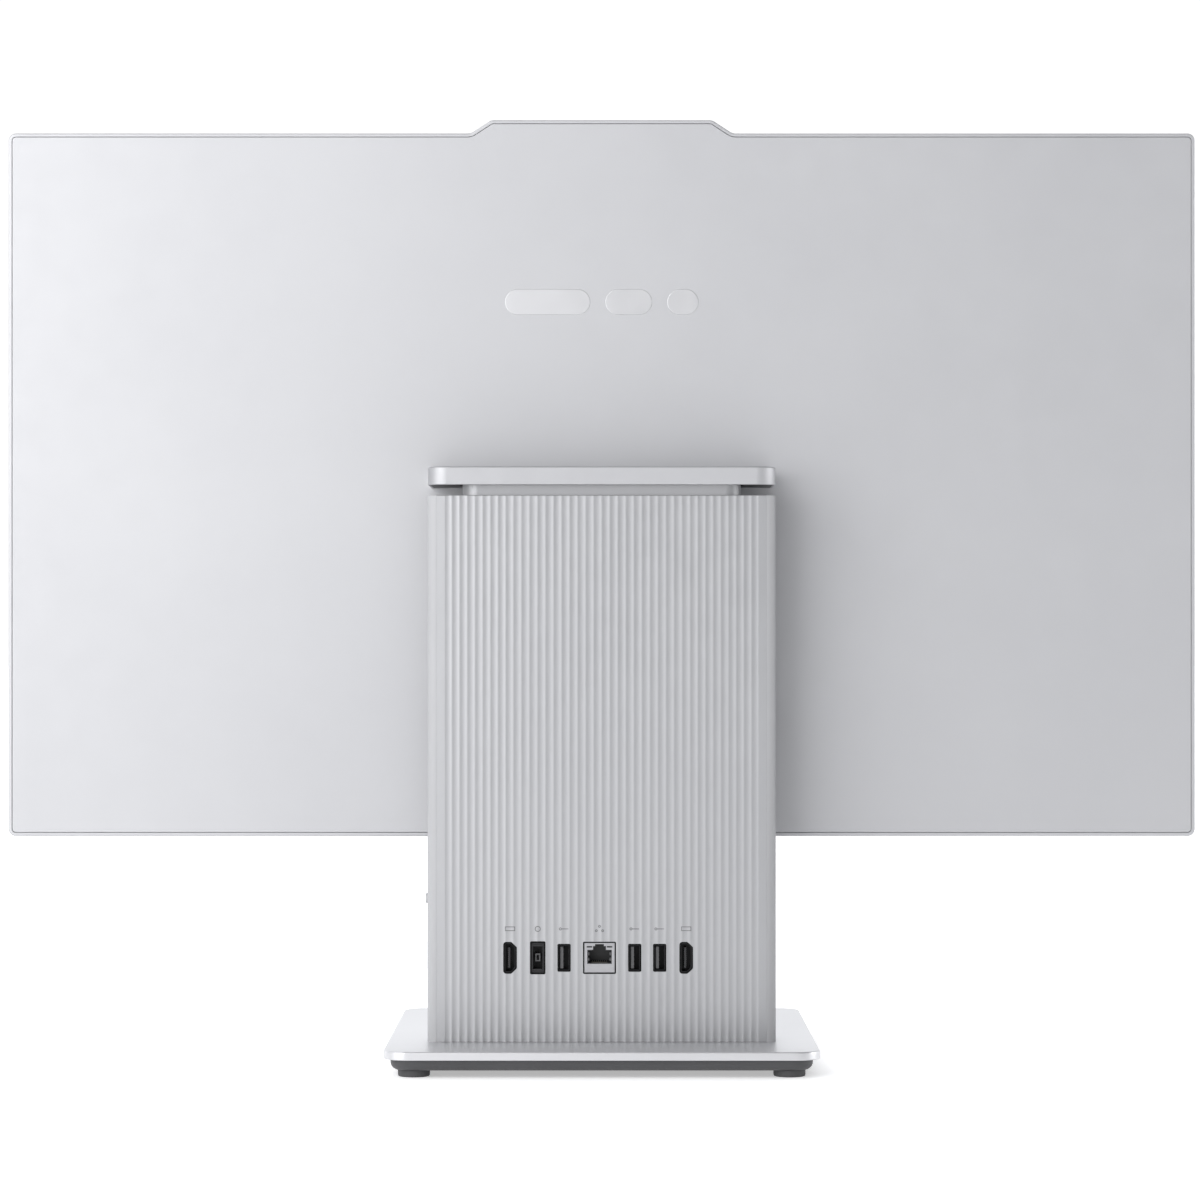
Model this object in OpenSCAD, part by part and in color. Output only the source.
// All-in-one computer. A thin display tilts on top of a fluted tower that holds the computer,
// and the tower stands on a flat base. Millimetres, +Z up, the screen faces -Y.
// The origin is on the floor, under the centre of the base.

/* [Display] */
// Width of the display over its frame
display_w = 614.5; // [606:0.5:640]
// Height of the display over its frame, without the camera bump
display_h = 364; // [358:0.5:372]
// Height of the display's lower edge above the floor
display_z = 115; // [112:0.5:118]
// Radius of the display's corners
display_r = 3.9; // [3:0.1:6]
// Rise of the camera bump above the display's top edge
bump_h = 6.9; // [6:0.1:8]
// Width of the camera bump along its top
bump_top_w = 114.4; // [100:0.5:130]
// Width of the camera bump along its foot
bump_foot_w = 135.6; // [132:0.5:160]

/* [Tower] */
// Width of the tower
tower_w = 176.4; // [172:0.1:180]
// Height of the tower above the base plate
tower_h = 276.5; // [275:0.5:276.5]
// Radius of the tower's upright corners
tower_r = 4; // [3.5:0.1:4.5]
// Depth of the flutes
flute_depth = 0.45; // [0.3:0.05:0.6]

/* [Cap and hinge] */
// Depth of the cap over the hinge, from the display to its rear face
cap_d = 48; // [47.5:0.1:48.5]
// Height of the cap
cap_h = 9.2; // [9.1:0.1:9.6]
// Radius of the cap's rear corners
cap_r = 10; // [4:0.5:12]

/* [Base] */
// Width of the base plate
base_w = 216.6; // [208:0.1:230]
// Depth of the base plate
base_d = 225; // [220:1:240]
// Radius of the base plate's corners
base_r = 12; // [10:0.5:16]
// Thickness of the base plate
plate_t = 4.3; // [4.2:0.1:4.4]
// Diameter of each rubber foot
foot_d = 16; // [12:0.5:18]

/* [Hidden] */
$fn = 64;
eps = 0.01;

// Colours
light_grey = [0.83, 0.83, 0.85];
dark_grey = [0.28, 0.28, 0.3];
black = [0.05, 0.05, 0.06];
steel = [0.68, 0.69, 0.71];
copper = [0.72, 0.45, 0.3];
board_green = [0.07, 0.2, 0.13];

// Base
foot_z = 3.5;                          // underside of the tray
plate_z = 9.1;                         // underside of the base plate
plate_top = plate_z + plate_t;
tray_inset = 3.4;
tray_fillet = 4;
foot_pos = [base_w/2 - 15, base_d/2 - 15];
base_screw_x = [-70, -25, 25, 70];
base_screw_y = 51;
shank_r = 2;                           // base screw
weight_half = [97.5, 99.5];

// Tower
front_y = 36.5;
rear_y = 66;
wall = 2;
tower_top = plate_top + tower_h;
cover_half = tower_w/2 - 4;            // half width of the opening for the front and rear covers
cover_gap = 0.15;
cover_t = 2.2;                         // the covers' thickness at a ridge
flutes_mid = 22;                       // flutes at the middle, and on each side of them
flutes_side = 9;
pitch_mid = 4.06;
pitch_side = 3.88;
boss_x = 79;
boss_z = [130, 272];
chassis_y = [39, 40.2];
board_y = [44.5, 46.1];
board_half = 74;
board_z = [22, 238];
port_z = 56;                           // centre of the rear sockets
mouth_y = rear_y - 0.7;                // where the rear sockets end
side_y = 49.1;                         // centre of the side sockets
neck_half = 70.7;
neck_y = [42, 60];
neck_r = 8;
neck_top = 296.5;

// Hinge and cap
display_back = rear_y - cap_d;         // the display's rear face
cap_z = tower_top + 5.2;
cap_top = cap_z + cap_h;
axis_y = 54;
axis_z = cap_z + 4.2;
pin_r = 2;
barrel_r = 3;
running_gap = 0.05;
leaf_z = [axis_z - 0.5, axis_z + 1.5];
leaf_x = [34, 56];
knuckle_x = [40, 50];                  // the bracket's knuckle, between the leaf's two
neck_clear = [1.5, 2.4];               // room in the underplate, before and behind the neck

// Display, from the front face back
display_front = display_back - 15;
frame_t = 1.8;
glass_y = [display_front + 1.4, display_front + 2.8];
backlight_y = glass_y[1] + 3.5;        // rear face of the backlight
chassis_back = backlight_y + 0.8;
bracket_back = chassis_back + 2;
cover_front = display_back - 1.6;      // inner face of the rear cover
display_top = display_z + display_h;
view_half = 299;                       // half width of the picture
view_z = [display_top - 344.3, display_top - 8];
camera_z = display_top - 0.5;
shutter_travel = 9.8;
shutter_tab = [20, 24];
bump_angle = atan(bump_h / ((bump_foot_w - bump_top_w)/2));

// ---------------------------------------------------------------- helpers

module block(x, y, z) {
    translate([x[0], y[0], z[0]])
        cube([x[1] - x[0], y[1] - y[0], z[1] - z[0]]);
}

// A rod along X, Y or Z, from a to b on that axis
module rod_x(r, x, y, z) translate([x[0], y, z]) rotate([0, 90, 0]) cylinder(r = r, h = x[1] - x[0]);
module rod_y(r, x, y, z) translate([x, y[0], z]) rotate([-90, 0, 0]) cylinder(r = r, h = y[1] - y[0]);
module rod_z(r, x, y, z) translate([x, y, z[0]]) cylinder(r = r, h = z[1] - z[0]);

// A flat outline drawn in X and Z, given thickness along Y
module upright(y) {
    translate([0, y[1], 0]) rotate([90, 0, 0]) linear_extrude(y[1] - y[0]) children();
}

module rounded_square(w, d, r) {
    square([w - 2*r, d], center = true);
    square([w, d - 2*r], center = true);
    for (sx = [-1, 1], sy = [-1, 1])
        translate([sx*(w/2 - r), sy*(d/2 - r)]) circle(r);
}

// An upright-sided slab with round corners, between two heights
module slab(w, y, r, z) {
    translate([0, (y[0] + y[1])/2, z[0]])
        linear_extrude(z[1] - z[0]) rounded_square(w, y[1] - y[0], r);
}

module both_sides() {
    children();
    mirror([1, 0, 0]) children();
}

// A corner q of an outline, between the points p and s, rounded to the radius r
function unit(v) = v/norm(v);
function corner(p, q, s, r, n) =
    let (u = unit(p - q), v = unit(s - q), half = acos(u*v)/2,
         c = q + unit(u + v)*r/sin(half), a = u*r/tan(half) + q - c, b = v*r/tan(half) + q - c)
    [for (i = [0:n]) c + r*unit(a*(1 - i/n) + b*i/n)];
function rounded(pts, radii, n = 8) =
    let (k = len(pts))
    [for (i = [0:k - 1]) each corner(pts[(i + k - 1) % k], pts[i], pts[(i + 1) % k], radii[i], n)];

// The display's outline with its camera bump, moved inwards by t
function display_outline(t) =
    let (x = display_w/2 - t, foot = bump_foot_w/2 - t*tan(bump_angle/2),
         top = bump_top_w/2 - t*tan(bump_angle/2), r = max(display_r - t, 0.6),
         z0 = display_z + t, z1 = display_top - t, z2 = display_top + bump_h - t)
    rounded([[-x, z0], [x, z0], [x, z1], [foot, z1], [top, z2], [-top, z2], [-foot, z1], [-x, z1]],
            [r, r, r, 5 + t, 4, 4, 5 + t, r]);

// ---------------------------------------------------------------- base

module base_feet() {
    color(dark_grey)
    for (sx = [-1, 1], sy = [-1, 1]) translate([sx*foot_pos[0], sy*foot_pos[1], 0]) {
        cylinder(d1 = foot_d - 1.2, d2 = foot_d, h = 0.6);
        translate([0, 0, 0.6]) cylinder(d = foot_d, h = foot_z - 0.6);
        translate([0, 0, foot_z - eps]) cylinder(d = 9, h = 1.2 + eps);
    }
}

// A slab whose lower edge is rounded to the radius f
module soft_slab(w, d, r, h, f) {
    module edge(half) {
        difference() {
            square([half, h]);
            difference() {
                translate([half - f, 0]) square([f + 1, f]);
                translate([half - f, f]) circle(f);
            }
        }
    }
    for (a = [0, 180]) rotate([0, 0, a]) {
        translate([0, d/2 - r, 0]) rotate([90, 0, 0]) linear_extrude(d - 2*r) edge(w/2);
        translate([w/2 - r, 0, 0]) rotate([90, 0, 90]) mirror([0, 0, 1])
            linear_extrude(w - 2*r) edge(d/2);
    }
    for (sx = [-1, 1], sy = [-1, 1])
        translate([sx*(w/2 - r), sy*(d/2 - r), 0]) rotate_extrude() edge(r);
}

module base_tray() {
    color(dark_grey)
    difference() {
        translate([0, 0, foot_z])
            soft_slab(base_w - 2*tray_inset, base_d - 2*tray_inset, base_r - tray_inset + 1,
                      plate_z - foot_z, tray_fillet);
        block([-weight_half[0] - 0.3, weight_half[0] + 0.3], [-weight_half[1] - 0.3, weight_half[1] + 0.3],
              [foot_z + 1.5, plate_z + 1]);
        for (x = base_screw_x) rod_z(4.8, x, base_screw_y, [foot_z - 1, plate_z]);
        for (sx = [-1, 1], sy = [-1, 1])
            rod_z(4.55, sx*foot_pos[0], sy*foot_pos[1], [foot_z - 1, foot_z + 1.25]);
    }
}

module base_weight() {
    color(steel)
    difference() {
        block([-weight_half[0], weight_half[0]], [-weight_half[1], weight_half[1]],
              [foot_z + 1.5, plate_z]);
        for (x = base_screw_x) {
            rod_z(4.8, x, base_screw_y, [foot_z, foot_z + 3.6]);
            rod_z(shank_r + 0.3, x, base_screw_y, [foot_z, plate_z + 1]);
        }
    }
}

module base_plate() {
    color(light_grey)
    difference() {
        slab(base_w, [-base_d/2, base_d/2], base_r, [plate_z, plate_top]);
        for (x = base_screw_x) rod_z(shank_r + 0.3, x, base_screw_y, [plate_z - 1, plate_top + 1]);
    }
}

module base_screws() {
    color(steel)
    for (x = base_screw_x) difference() {
        union() {
            rod_z(4.2, x, base_screw_y, [foot_z + 1.1, foot_z + 3.6]);
            rod_z(shank_r, x, base_screw_y, [foot_z + 3.6 - eps, plate_top + 5]);
        }
        translate([x, base_screw_y, foot_z + 1]) cylinder(r = 1.7, h = 1.6, $fn = 6);
    }
}

// ---------------------------------------------------------------- tower housing

// Where ridge k of the flutes stands, from the left edge of the fluted field
function ridge_x(k) =
    let (left = min(k, flutes_side), mid = min(max(k - flutes_side, 0), flutes_mid),
         right = max(k - flutes_side - flutes_mid, 0))
    (left + right - flutes_side)*pitch_side + (mid - flutes_mid/2)*pitch_mid;

// A cover whose outer face, at y = 0 and facing +Y, is fluted from top to bottom
module fluted_cover() {
    n = flutes_mid + 2*flutes_side;
    half = cover_half - cover_gap;
    translate([0, 0, plate_top + cover_gap])
        linear_extrude(tower_h - 2*cover_gap)
            difference() {
                translate([-half, -cover_t]) square([2*half, cover_t]);
                for (k = [0:n - 1]) {
                    w = (ridge_x(k + 1) - ridge_x(k))/2;
                    r = (w*w + flute_depth*flute_depth)/(2*flute_depth);
                    translate([ridge_x(k) + w, r - flute_depth]) circle(r);
                }
            }
}

module slot_row(xs, y, z) {
    for (x = xs) block([x - 0.8, x + 0.8], y, z);
}

// Outline of a video plug's socket: flat on the +X side, sloped corners on the -X side
module video_outline(grow) {
    polygon([[3 + grow, -7.6 - grow], [3 + grow, 7.6 + grow], [-0.6, 7.6 + grow],
             [-3 - grow, 5.2 + 0.4*grow], [-3 - grow, -5.2 - 0.4*grow], [-0.6, -7.6 - grow]]);
}

// The rear sockets' places: x of each centre
video_x = [46.3, -42.7];
inlet_x = 32.3;
usb_x = [19, -16.7, -29.3];
network_x = 1.1;

// Openings for the rear sockets, each grown by clear on all sides
module rear_port_holes(y, clear) {
    for (x = video_x) translate([x, 0, port_z]) upright(y) video_outline(clear);
    block([inlet_x - 3.45 - clear, inlet_x + 3.45 + clear], y,
          [port_z - 7.9 - clear, port_z + 7.9 + clear]);
    for (x = usb_x)
        block([x - 2.9 - clear, x + 2.9 + clear], y, [port_z - 6.6 - clear, port_z + 6.6 + clear]);
    block([network_x - 7.9 - clear, network_x + 7.9 + clear], y,
          [port_z - 7.7 - clear, port_z + 7.7 + clear]);
}

module tower_rear_cover() {
    color(light_grey)
    difference() {
        union() {
            translate([0, rear_y, 0]) fluted_cover();
            for (sx = [-1, 1], z = boss_z)
                rod_y(2.9, sx*boss_x, [chassis_y[1] + 0.1, rear_y - cover_t + eps], z);
        }
        rear_port_holes([rear_y - 4, rear_y + 1], 0.45);
        for (sx = [-1, 1], z = boss_z)
            rod_y(1.55, sx*boss_x, [chassis_y[1] - 1, chassis_y[1] + 14], z);
    }
}

// The front cover has the same flutes. Slots in their valleys let air and sound through.
module tower_front_cover() {
    valley = function(k) (ridge_x(k) + ridge_x(k + 1))/2;
    color(light_grey)
    difference() {
        translate([0, front_y, 0]) rotate([0, 0, 180]) fluted_cover();
        slot_row([for (k = [4:16], s = [-1, 1]) s*valley(k)], [front_y - 1, front_y + 3], [30, 92]);
        slot_row([for (k = [6:33]) valley(k)], [front_y - 1, front_y + 3], [150, 205]);
        slot_row([for (k = [6:33]) valley(k)], [front_y - 1, front_y + 3], [212, 262]);
        for (sx = [-1, 1], z = boss_z) {
            rod_y(3.1, sx*boss_x, [front_y - 1, front_y + 1.2], z);
            rod_y(1.7, sx*boss_x, [front_y - 1, front_y + 3], z);
        }
    }
}

// Openings in the tower's sides. The right side has a light, two buttons and a USB socket,
// the left side a light, a USB-C socket and the audio jack.
power_led_z = 99.4;
power_button_z = 85.1;
input_button_z = 73;
side_usb_z = 56.3;
drive_led_z = 90.5;
usb_c_z = 66.7;
audio_z = 55.8;

module tower_shell() {
    x_in = tower_w/2 - wall;
    right = [x_in - 1, tower_w/2 + 1];
    left = [-tower_w/2 - 1, 1 - x_in];
    color(light_grey)
    difference() {
        union() {
            slab(tower_w, [front_y, rear_y], tower_r, [plate_top, tower_top]);
            translate([tower_w/2 - eps, side_y, side_usb_z]) rotate([90, 0, 90])
                linear_extrude(0.4) rounded_square(8.4, 15, 1);
        }
        block([-x_in, x_in], [front_y + wall, rear_y - wall], [plate_top - 1, tower_top - wall]);
        block([-cover_half, cover_half], [rear_y - cover_t, rear_y + 1], [plate_top - 1, tower_top + 1]);
        block([-cover_half, cover_half], [front_y - 1, front_y + cover_t], [plate_top - 1, tower_top + 1]);
        slab(2*neck_half - 6, [neck_y[0] + 3, neck_y[1] - 3], neck_r - 3, [tower_top - 3, tower_top + 1]);
        rod_x(2.15, right, side_y, power_led_z);
        rod_x(2.65, right, side_y, power_button_z);
        rod_x(2.75, right, side_y, input_button_z);
        block(right, [side_y - 3.2, side_y + 3.2], [side_usb_z - 6.9, side_usb_z + 6.9]);
        rod_x(1.3, left, side_y, drive_led_z);
        block(left, [side_y - 4.7, side_y + 4.7], [usb_c_z - 1.9, usb_c_z + 1.9]);
        rod_x(2.85, left, side_y, audio_z);
    }
}

// The neck is a ring that joins the tower's top to the cap. Slots in its front wall let the air out.
module tower_neck() {
    color(light_grey)
    difference() {
        slab(2*neck_half, neck_y, neck_r, [tower_top, neck_top]);
        slab(2*neck_half - 3, [neck_y[0] + 1.5, neck_y[1] - 1.5], neck_r - 1.5, [tower_top - 1, neck_top + 1]);
        for (x = [-56:4:56]) block([x - 1, x + 1], [neck_y[0] - 1, neck_y[0] + 2], [tower_top + 1.2, neck_top - 1.2]);
    }
}

module tower_chassis() {
    posts = [for (sx = [-1, 1], z = [28, 130, 232]) [sx*66, z]];
    color(steel)
    difference() {
        union() {
            block([-82, 82], chassis_y, [plate_top + 0.2, tower_top - 3.5]);
            block([-82, 82], [chassis_y[1] - eps, 62], [plate_top, plate_top + 3]);
            for (p = posts) rod_y(2.6, p[0], [chassis_y[1] - eps, board_y[0]], p[1]);
        }
        for (p = posts) rod_y(1.3, p[0], [chassis_y[0] - 1, board_y[0] + 1], p[1]);
        for (x = base_screw_x) rod_z(shank_r + 0.05, x, base_screw_y, [plate_top - 1, plate_top + 4]);
        both_sides() block([8, 62], [chassis_y[0] - 1, chassis_y[1] + 1], [24, 98]);
        block([-60, 60], [chassis_y[0] - 1, chassis_y[1] + 1], [146, 236]);
        for (sx = [-1, 1], z = boss_z) rod_y(1.7, sx*boss_x, [chassis_y[0] - 1, chassis_y[1] + 1], z);
        both_sides() for (z = [250, 270], x = [37, 53])
            rod_y(1.55, x, [chassis_y[0] - 1, chassis_y[1] + 1], z);
    }
}

module cross_head(r, depth) {
    for (a = [0, 90]) rotate([0, 0, a]) translate([-r, -0.3, 0]) cube([2*r, 0.6, depth]);
}

module cover_screws() {
    color(steel)
    for (sx = [-1, 1], z = boss_z) difference() {
        union() {
            rod_y(2.9, sx*boss_x, [front_y + 0.2, front_y + 1.2], z);
            rod_y(1.5, sx*boss_x, [front_y + 1.2 - eps, chassis_y[1] + 12], z);
        }
        translate([sx*boss_x, front_y + 0.1, z]) rotate([-90, 0, 0]) cross_head(1.6, 0.7);
    }
}

// ---------------------------------------------------------------- computer

board_post = [for (sx = [-1, 1], z = [28, 130, 232]) [sx*66, z]];

module motherboard() {
    color(board_green)
    difference() {
        block([-board_half, board_half], board_y, board_z);
        for (p = board_post) rod_y(1.6, p[0], [board_y[0] - 1, board_y[1] + 1], p[1]);
        both_sides() block([board_half - 6, board_half + 1], [board_y[0] - 1, board_y[1] + 1], [108, 122]);
    }
}

module board_screws() {
    color(steel)
    for (p = board_post) {
        rod_y(2.6, p[0], [board_y[1], board_y[1] + 1.3], p[1]);
        rod_y(1.25, p[0], [board_y[0] - 3, board_y[1] + eps], p[1]);
    }
}

// Coils, capacitors and the chipset on the board's rear face
module board_parts() {
    y = board_y[1];
    color(dark_grey) {
        for (i = [0:4]) block([67, 73.5], [y, y + 4], [140 + 9*i, 147 + 9*i]);
        for (i = [0:3]) rod_y(3, 14 + 12*i, [y, y + 6], 138);
        block([-30, -8], [y, y + 1.6], [120, 142]);
        block([-62, -50], [y, y + 1.2], [110, 122]);
        for (i = [0:3]) block([-44 + 12*i, -38 + 12*i], [y, y + 1.4], [90, 96]);
        block([60, 68], [y, y + 3], [196, 214]);
    }
}

cpu = [38, 175];
module processor() {
    y = board_y[1];
    color(steel) {
        block([cpu[0] - 25, cpu[0] + 25], [y, y + 0.7], [cpu[1] - 14, cpu[1] + 14]);
        block([cpu[0] - 12, cpu[0] + 12], [y + 0.7 - eps, y + 1.5], [cpu[1] - 6, cpu[1] + 6]);
    }
}

plate_y = [board_y[1] + 1.5, board_y[1] + 4];
module cold_plate() {
    color(copper) {
        block([cpu[0] - 22, cpu[0] + 22], plate_y, [cpu[1] - 20, cpu[1] + 20]);
        for (sx = [-1, 1], sz = [-1, 1])
            translate([cpu[0] + sx*20, 0, cpu[1] + sz*18])
                rotate([0, sx*sz*45, 0]) block([-3, sx > 0 ? 8 : 3], [plate_y[0], plate_y[0] + 0.8], [-2.5, 2.5]);
    }
}

// Two flat pipes that rise from the cold plate and turn along the fins
pipe_y = [plate_y[1], plate_y[1] + 3];
pipe_bend = 14;
module heat_pipes() {
    color(copper)
    for (i = [0, 1]) {
        x = cpu[0] - 8 + 16*i;
        z = 262 + 8.4*i;
        block([x - 3.5, x + 3.5], pipe_y, [cpu[1] - 18, z - pipe_bend]);
        block([-58, x - pipe_bend], pipe_y, [z - 3.5, z + 3.5]);
        translate([x - pipe_bend, pipe_y[0], z - pipe_bend]) rotate([90, 0, 0])
            mirror([0, 0, 1]) rotate_extrude(angle = 90)
                translate([pipe_bend - 3.5, 0]) square([7, pipe_y[1] - pipe_y[0]]);
    }
}

fin_x = [-60, 0];
module fin_stack() {
    y = [pipe_y[1], 61.5];
    z = [258.6, 276];
    color(steel) {
        block(fin_x, [y[0], y[0] + 0.8], z);
        for (x = [fin_x[0]:2.5:fin_x[1] - 0.5])
            block([x, x + 0.4], [y[0] + 0.8 - eps, y[1]], z);
    }
}

fan = [-31, 222];
fan_y = [48.4, 60.4];
module fan_housing() {
    difference() {
        color(black) union() {
            block([fan[0] - 37, fan[0] + 37], fan_y, [fan[1] - 35, fan[1] + 36]);
            for (sx = [-1, 1]) rod_y(3, fan[0] + sx*33, [board_y[1], fan_y[0] + eps], fan[1] - 31);
        }
        rod_y(33, fan[0], [fan_y[0] + 1, fan_y[1] - 1], fan[1]);
        block([fan[0] - 33, fan[0] + 29], [fan_y[0] + 1, fan_y[1] - 1], [fan[1], fan[1] + 37]);
        rod_y(22, fan[0], [fan_y[1] - 2, fan_y[1] + 1], fan[1]);
    }
    color(black) rod_y(3, fan[0], [fan_y[0] + 1 - eps, fan_y[0] + 7], fan[1]);
}

module fan_impeller() {
    blades = 23;
    y = [fan_y[0] + 1.6, fan_y[1] - 1.8];
    color(dark_grey) translate([fan[0], 0, fan[1]])
    difference() {
        union() {
            rod_y(13, 0, y, 0);
            difference() {
                rod_y(30.5, 0, [y[0], y[0] + 1], 0);
                rod_y(28.5, 0, [y[0] - 1, y[0] + 2], 0);
            }
            for (k = [0:blades - 1]) rotate([0, 360*k/blades, 0])
                block([12, 30], y, [-0.4, 0.4]);
        }
        rod_y(3 + running_gap, 0, [y[0] - 1, y[0] + 6.5], 0);
    }
}

module memory_modules() {
    y = [board_y[0] - 3.8, board_y[0]];
    color(board_green) both_sides() {
        block([3, 62], [y[0], y[0] + 1], [104, 126]);
        block([3, 62], [y[0] + 1 - eps, y[1]], [101, 104]);
        for (i = [0:3]) block([6 + 14*i, 18 + 14*i], [y[0] + 1 - eps, y[0] + 2], [107, 117]);
    }
}

module storage_module() {
    y = [board_y[0] - 3.2, board_y[0]];
    color(board_green) {
        block([-52, 28], [y[0], y[0] + 0.8], [152, 174]);
        block([28, 33], [y[0], y[1]], [152, 174]);
        for (i = [0, 1]) block([-48 + 24*i, -28 + 24*i], [y[0] + 0.8 - eps, y[0] + 2], [156, 170]);
        block([6, 16], [y[0] + 0.8 - eps, y[0] + 1.8], [158, 168]);
    }
}

module radio_card() {
    y = [board_y[0] - 2.8, board_y[0]];
    color(board_green) {
        block([-52, -22], [y[0], y[0] + 0.8], [182, 204]);
        block([-22, -17], [y[0], y[1]], [182, 204]);
        block([-48, -28], [y[0] + 0.8 - eps, y[0] + 2.2], [186, 200]);
    }
}

module clock_battery() {
    color(steel) {
        rod_y(10, 34, [board_y[0] - 3.4, board_y[0] - 0.2], 200);
        rod_y(8, 34, [board_y[0] - 0.2 - eps, board_y[0]], 200);
    }
}

// A flat speaker box behind the front cover's slots
module speaker() {
    y = [front_y + cover_t + 0.1, board_y[0] - 0.4];
    x = 35;
    z = 61;
    difference() {
        color(black) block([9, 61], y, [25, 97]);
        rod_y(19, x, [y[0] - 1, y[0] + 1.6], z);
    }
    color(dark_grey) difference() {
        rod_y(17.5, x, [y[0] + 0.9, y[0] + 1.6 + eps], z);
        rod_y(14, x, [y[0], y[0] + 1.2], z);
    }
    color(dark_grey) rod_y(6, x, [y[0] + 0.7, y[0] + 1.6 + eps], z);
}
module speaker_right() speaker();
module speaker_left() mirror([1, 0, 0]) speaker();

// ---------------------------------------------------------------- sockets
// Each is drawn with its mouth at the origin, facing +Y, then placed.

module at_rear(x) translate([x, mouth_y, port_z]) children();
module at_right(x, z) translate([x, side_y, z]) rotate([0, 0, -90]) children();
module at_left(x, z) translate([x, side_y, z]) rotate([0, 0, 90]) children();
rear_depth = mouth_y - board_y[1];

module usb_a(depth) {
    difference() {
        block([-2.9, 2.9], [-depth, 0], [-6.6, 6.6]);
        block([-2.56, 2.56], [-10.5, 1], [-6.25, 6.25]);
    }
    block([0.35, 1.95], [-10.5 - eps, -1], [-5.55, 5.55]);
}

module video_socket() {
    difference() {
        upright([-rear_depth, 0]) video_outline(0);
        upright([-9, 1]) video_outline(-0.5);
    }
    block([-0.1, 0.9], [-9 - eps, -1], [-5.2, 5.2]);
}

module network_socket() {
    color(steel) at_rear(network_x) {
        difference() {
            block([-7.9, 7.9], [-rear_depth, 0], [-7.7, 7.7]);
            block([-6.2, 6.2], [-12, 1], [-3.1, 4]);
            block([-3.3, 3.3], [-12, 1], [3.9, 5.9]);
            block([-2.25, 2.25], [-12, 1], [5.8, 6.9]);
            for (sx = [-1, 1]) block([sx*5.1 - 1.45, sx*5.1 + 1.45], [-0.4, 1], [5.1, 5.9]);
        }
        for (i = [-3.5:1:3.5]) block([i*1.02 - 0.2, i*1.02 + 0.2], [-12 - eps, -2.5], [-3.1 - eps, -2.2]);
    }
}

module power_inlet() {
    color(black) at_rear(inlet_x) {
        difference() {
            block([-3.45, 3.45], [-rear_depth, 0], [-7.9, 7.9]);
            block([-2.5, 2.5], [-9, 1], [-5.75, 5.75]);
        }
        difference() {
            block([-1.35, 1.35], [-9 - eps, -2], [-2, 2]);
            rod_y(0.75, 0, [-7, 0], 0);
        }
    }
}

module video_socket_right() color(black) at_rear(video_x[0]) video_socket();
module video_socket_left() color(black) at_rear(video_x[1]) video_socket();
module usb_socket_right() color(black) at_rear(usb_x[0]) usb_a(rear_depth);
module usb_socket_inner() color(black) at_rear(usb_x[1]) usb_a(rear_depth);
module usb_socket_outer() color(black) at_rear(usb_x[2]) usb_a(rear_depth);
module usb_socket_side() color(steel) at_right(tower_w/2 + 0.3, side_usb_z) usb_a(18.5);

module usb_c_socket() {
    module oval(half, r) {
        square([2*(half - r), 2*r], center = true);
        for (sx = [-1, 1]) translate([sx*(half - r), 0]) circle(r);
    }
    color(steel) at_left(-tower_w/2 - 0.3, usb_c_z) {
        difference() {
            union() {
                upright([-10, 0]) oval(4.45, 1.62);
                block([-3, 3], [-18, -10 + eps], [-1.62, 1.62]);
            }
            upright([-6, 1]) oval(4.15, 1.32);
        }
        block([-3.3, 3.3], [-6 - eps, -0.9], [-0.35, 0.35]);
    }
}

module audio_jack() {
    color(black) at_left(-tower_w/2 + 0.1, audio_z)
    difference() {
        union() {
            rod_y(2.75, 0, [-3, 0], 0);
            block([-3, 3], [-16, -3 + eps], [-3.2, 3.2]);
        }
        rod_y(1.8, 0, [-13, 1], 0);
    }
}

// Black foam that closes the gap between the rear cover and the sockets
module io_gasket() {
    color(black) difference() {
        block([-48, 52], [rear_y - cover_t - 1.6, rear_y - cover_t], [port_z - 11, port_z + 11]);
        rear_port_holes([rear_y - 6, rear_y], 0.08);
    }
}

module indicator_lenses() {
    color("white") {
        rod_x(2.1, [81, tower_w/2 + 0.3], side_y, power_led_z);
        rod_x(1.25, [-tower_w/2 - 0.3, -81], side_y, drive_led_z);
    }
}

module side_button(z, r, proud) {
    x_in = tower_w/2 - wall;
    rod_x(r, [x_in - eps, tower_w/2 + proud], side_y, z);
    rod_x(r + 1, [x_in - 1.2, x_in], side_y, z);
    rod_x(1.2, [x_in - 3.6, x_in - 1.2 + eps], side_y, z);
}
module power_button() color(light_grey) side_button(power_button_z, 2.5, 1.4);
module input_button() color(light_grey) side_button(input_button_z, 2.6, 0.4);

module button_switches() {
    color(black) for (z = [power_button_z, input_button_z]) {
        block([72, 80.5], [board_y[1], side_y + 2.5], [z - 3, z + 3]);
    }
}

// ---------------------------------------------------------------- hinge and cap

// The bracket stands on the chassis and holds the middle knuckle
module hinge_bracket() {
    color(steel) difference() {
        union() {
            block([33, 57], [chassis_y[1], chassis_y[1] + 2.4], [244, tower_top - 4.5]);
            block([33, 57], [chassis_y[1], axis_y + 1.5], [tower_top - 7, tower_top - 4.5]);
            block(knuckle_x, [axis_y - 1.5, axis_y + 1.5], [tower_top - 7, axis_z]);
            rod_x(barrel_r, knuckle_x, axis_y, axis_z);
        }
        rod_x(pin_r + running_gap, [knuckle_x[0] - 1, knuckle_x[1] + 1], axis_y, axis_z);
        for (z = [250, 270], x = [37, 53]) rod_y(1.5, x, [chassis_y[1] - 1, chassis_y[1] + 4], z);
    }
}
module hinge_bracket_right() hinge_bracket();
module hinge_bracket_left() mirror([1, 0, 0]) hinge_bracket();

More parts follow.
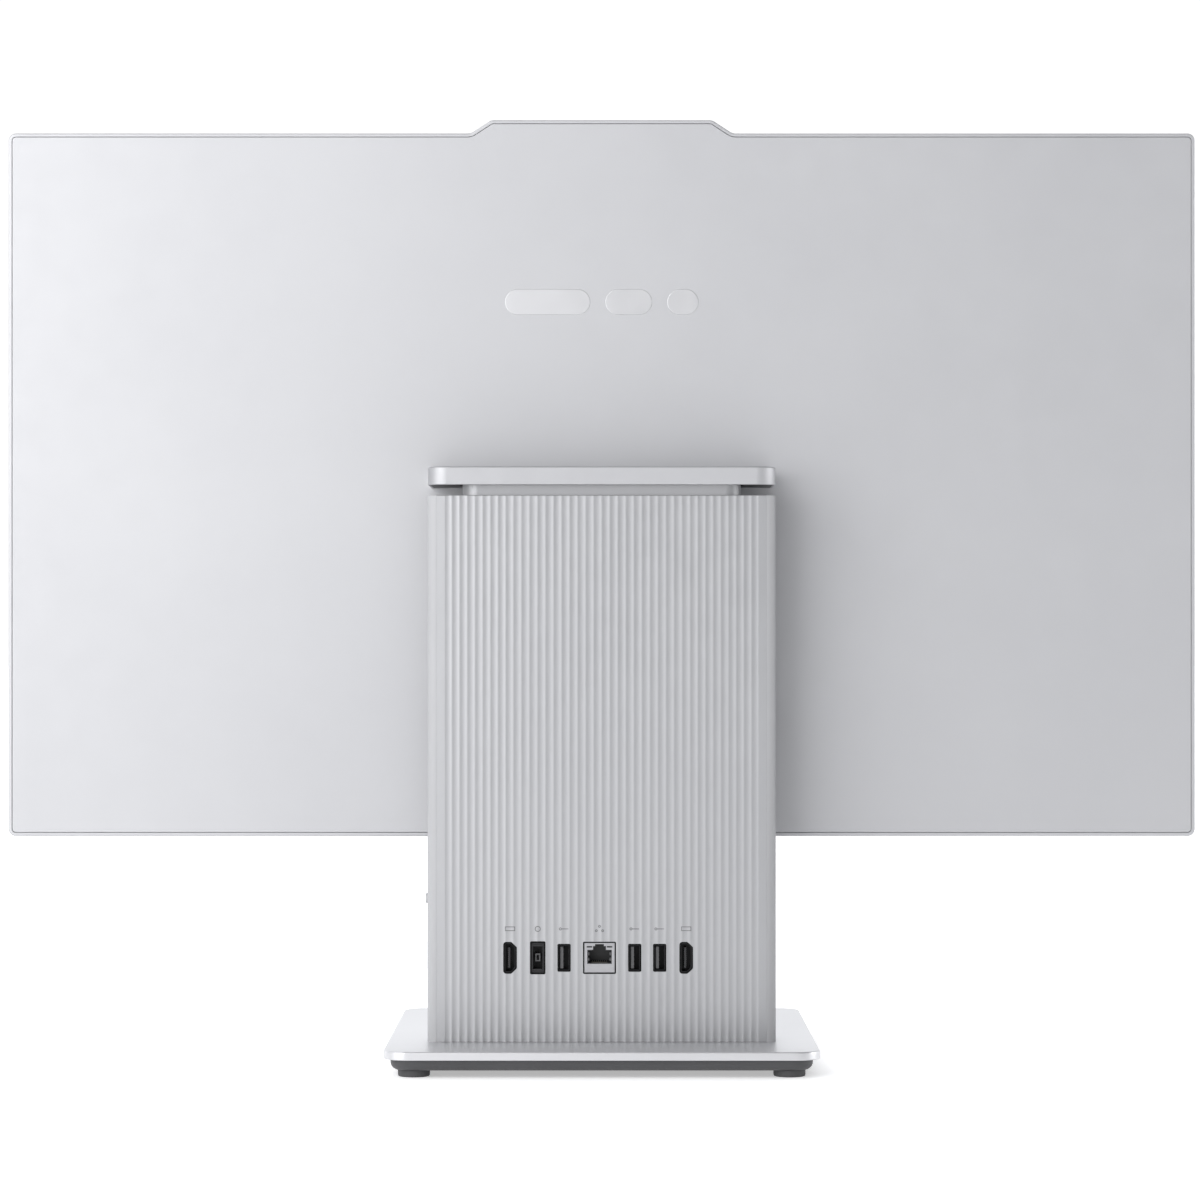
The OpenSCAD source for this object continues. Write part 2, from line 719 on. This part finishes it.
// The leaf turns with the display: two knuckles, an arm through the rear cover and a screwed flange
module hinge_leaf() {
    color(steel) difference() {
        union() {
            block(leaf_x, [bracket_back, axis_y], leaf_z);
            block(leaf_x, [bracket_back, bracket_back + 2], [axis_z - 28, leaf_z[1]]);
            rod_x(barrel_r, [leaf_x[0], knuckle_x[0] - 0.4], axis_y, axis_z);
            rod_x(barrel_r, [knuckle_x[1] + 0.4, leaf_x[1]], axis_y, axis_z);
        }
        block([knuckle_x[0] - 0.4, knuckle_x[1] + 0.4], [axis_y - 5, axis_y + 4], [axis_z - 5, axis_z + 5]);
        rod_x(pin_r, [leaf_x[0] - 1, leaf_x[1] + 1], axis_y, axis_z);
        for (x = [38, 52], z = [axis_z - 24, axis_z - 10]) rod_y(1.6, x, [bracket_back - 1, bracket_back + 3], z);
        rod_z(1.6, 45, display_back + 12, [leaf_z[0] - 1, leaf_z[1] + 1]);
    }
}
module hinge_leaf_right() hinge_leaf();
module hinge_leaf_left() mirror([1, 0, 0]) hinge_leaf();

module hinge_pins() {
    color(steel) both_sides() {
        rod_x(pin_r, [32, 62], axis_y, axis_z);
        rod_x(2.8, [31, 32 + eps], axis_y, axis_z);
    }
}

// Spring washers and a nut on each pin press the knuckles together and make the friction
module hinge_washers() {
    color(steel) both_sides() {
        for (i = [0:2]) difference() {
            rod_x(2.8, [56.2 + 1.1*i, 57 + 1.1*i], axis_y, axis_z);
            rod_x(pin_r, [56 + 1.1*i, 58 + 1.1*i], axis_y, axis_z);
        }
        difference() {
            translate([59.5, axis_y, axis_z]) rotate([0, 90, 0]) cylinder(r = 2.9, h = 2, $fn = 6);
            rod_x(pin_r, [59, 62], axis_y, axis_z);
        }
    }
}

module cap_outline(inset) {
    difference() {
        translate([0, (display_back + rear_y)/2 - 10])
            rounded_square(tower_w - 2*inset, cap_d + 20 - 2*inset, cap_r - inset);
        translate([-tower_w, display_back - 100]) square([2*tower_w, 100]);
    }
}

module cap_shell() {
    color(light_grey) {
        difference() {
            translate([0, 0, cap_z]) linear_extrude(cap_h) cap_outline(0);
            translate([0, 0, cap_z - 1]) linear_extrude(cap_h + 1 - 1.5) cap_outline(1.4);
        }
        both_sides() difference() {
            rod_z(3, 45, display_back + 12, [leaf_z[1], cap_top - 1.5 + eps]);
            rod_z(1.3, 45, display_back + 12, [leaf_z[1] - 1, cap_top - 1.5]);
        }
    }
}

module cap_underplate() {
    color(black) difference() {
        translate([0, 0, cap_z + 0.7]) linear_extrude(0.9) cap_outline(1.4);
        slab(2*neck_half + 3, [neck_y[0] - neck_clear[0], neck_y[1] + neck_clear[1]], neck_r,
             [cap_z - 1, cap_z + 3]);
        both_sides() rod_z(3.2, 45, display_back + 12, [cap_z - 1, cap_z + 3]);
    }
}

// Screws that hold the leaves to the display bracket, and the cap to the leaves
module leaf_screws() {
    color(steel) both_sides() {
        for (x = [38, 52], z = [axis_z - 24, axis_z - 10]) {
            rod_y(2.7, x, [bracket_back + 2, bracket_back + 3.7], z);
            rod_y(1.5, x, [bracket_back - 1.9, bracket_back + 2 + eps], z);
        }
        rod_z(2.6, 45, display_back + 12, [leaf_z[0] - 1.4, leaf_z[0]]);
        rod_z(1.25, 45, display_back + 12, [leaf_z[0] - eps, cap_top - 1.7]);
    }
}

// ---------------------------------------------------------------- display

// The frame is the display's side wall, with a ledge that the rear cover lies on
module display_frame() {
    color(light_grey) {
        difference() {
            upright([display_front + 0.4, display_back]) polygon(display_outline(0));
            upright([display_front - 1, display_back + 1]) polygon(display_outline(frame_t));
        }
        difference() {
            upright([cover_front - 1.6, cover_front]) polygon(display_outline(frame_t - eps));
            upright([cover_front - 3, cover_front + 1]) polygon(display_outline(frame_t + 2.6));
        }
    }
}

module display_rear_cover() {
    color(light_grey) difference() {
        upright([cover_front, display_back]) polygon(display_outline(frame_t + 0.25));
        block([-58, 58], [cover_front - 1, display_back + 1], [axis_z - 2.3, axis_z + 2.9]);
    }
}

// A plain polished badge of three capsules, each given by its middle and its length
badge_z = 391.6;
badge_r = 6.5;
capsules = [[28, 44], [-14, 24], [-42, 16]];
module rear_badge() {
    color(steel) for (c = capsules)
        translate([c[0], 0, badge_z]) upright([display_back, display_back + 0.35]) {
            square([c[1] - 2*badge_r, 2*badge_r], center = true);
            for (s = [-1, 1]) translate([s*(c[1]/2 - badge_r), 0]) circle(badge_r);
        }
}

module front_bezel() {
    y = [display_front, glass_y[0]];
    chin_top = view_z[0] - 3.4;
    color(black) difference() {
        upright(y) polygon(display_outline(frame_t + 0.1));
        block([-view_half, view_half], [y[0] - 1, y[1] + 1], view_z);
        rod_y(4, 0, [y[0] - 1, y[1] + 1], camera_z);
        for (x = [-35, 35]) rod_y(0.6, x, [y[0] - 1, y[1] + 1], camera_z);
        block([shutter_tab[0] - shutter_travel - 0.5, shutter_tab[1] + 0.4], [y[0] - 1, y[1] + 1],
              [camera_z - 1.2, camera_z + 1.2]);
        block([-display_w, display_w], [y[0] - 1, y[0] + 0.3], [chin_top - 0.4, chin_top]);
    }
}

module lcd_panel() {
    color(black) block([-view_half - 2, view_half + 2], glass_y, [view_z[0] - 2.2, view_z[1] + 2]);
}

// Film stack, light guide and the bar of lamps along its lower edge
module backlight() {
    x = [-view_half - 1.5, view_half + 1.5];
    y = glass_y[1];
    color("white") {
        block(x, [y, y + 1], [view_z[0] - 1.8, view_z[1] + 1.5]);
        block(x, [y + 1, backlight_y], [view_z[0] + 2.5, view_z[1] + 1.5]);
        block(x, [y + 1, backlight_y], [view_z[0] - 1.8, view_z[0] + 2.2]);
    }
}

module panel_chassis() {
    x = view_half + 3.2;
    y = [glass_y[1] + 0.1, chassis_back];
    color(steel) {
        difference() {
            block([-x, x], y, [view_z[0] - 3.3, view_z[1] + 2.3]);
            block([-view_half - 2, view_half + 2], [y[0] - 1, backlight_y],
                  [view_z[0] - 2.2, view_z[1] + 1.9]);
        }
        // driver board along the lower edge, on four pads
        for (px = [-84, 84], pz = [154, 168]) rod_y(2, px, [y[1] - eps, y[1] + 1], pz);
        block([-90, 90], [y[1] + 1 - eps, y[1] + 2.4], [150, 172]);
        for (i = [0:3]) block([-60 + 32*i, -44 + 32*i], [y[1] + 2.4 - eps, y[1] + 3.6], [156, 166]);
    }
}

module display_bracket() {
    color(steel) difference() {
        block([-80, 80], [chassis_back, bracket_back], [axis_z - 42, axis_z + 36]);
        both_sides() for (x = [38, 52], z = [axis_z - 24, axis_z - 10])
            rod_y(1.55, x, [chassis_back - 1, bracket_back + 1], z);
        block([-24, 24], [chassis_back - 1, bracket_back + 1], [axis_z - 30, axis_z + 24]);
    }
}

module camera_module() {
    z = camera_z;
    y = glass_y[1] + 0.4;
    color(black) {
        difference() {
            union() {
                block([-11, 11], [y, y + 4], [z - 4.2, z + 4.2]);
                block([-45, 45], [y + 4 - eps, y + 4.8], [z - 3, z + 3]);
                for (x = [-35, 35]) block([x - 2, x + 2], [y + 2.8, y + 4], [z - 1.5, z + 1.5]);
            }
            rod_y(3.2, 0, [y - 1, y + 0.5], z);
        }
        rod_y(2.6, 0, [y, y + 0.6], z);
    }
}

// The shutter slides behind the bezel, moved by a tab that stands out of a slot
module camera_shutter() {
    y = [glass_y[0] + 0.2, glass_y[0] + 1];
    color(dark_grey) {
        block([5, shutter_tab[1]], y, [camera_z - 4.4, camera_z + 4.4]);
        block(shutter_tab, [display_front - 0.5, y[0] + eps], [camera_z - 0.9, camera_z + 0.9]);
    }
}

base_feet();
base_tray();
base_weight();
base_plate();
base_screws();
tower_shell();
tower_rear_cover();
tower_front_cover();
tower_neck();
tower_chassis();
cover_screws();
motherboard();
board_screws();
board_parts();
processor();
cold_plate();
heat_pipes();
fin_stack();
fan_housing();
fan_impeller();
memory_modules();
storage_module();
radio_card();
clock_battery();
speaker_left();
speaker_right();
io_gasket();
video_socket_left();
video_socket_right();
power_inlet();
network_socket();
usb_socket_outer();
usb_socket_inner();
usb_socket_right();
usb_socket_side();
usb_c_socket();
audio_jack();
indicator_lenses();
button_switches();
power_button();
input_button();
hinge_bracket_left();
hinge_bracket_right();
hinge_leaf_left();
hinge_leaf_right();
hinge_pins();
hinge_washers();
cap_shell();
cap_underplate();
leaf_screws();
display_frame();
display_rear_cover();
rear_badge();
front_bezel();
lcd_panel();
backlight();
panel_chassis();
display_bracket();
camera_module();
camera_shutter();
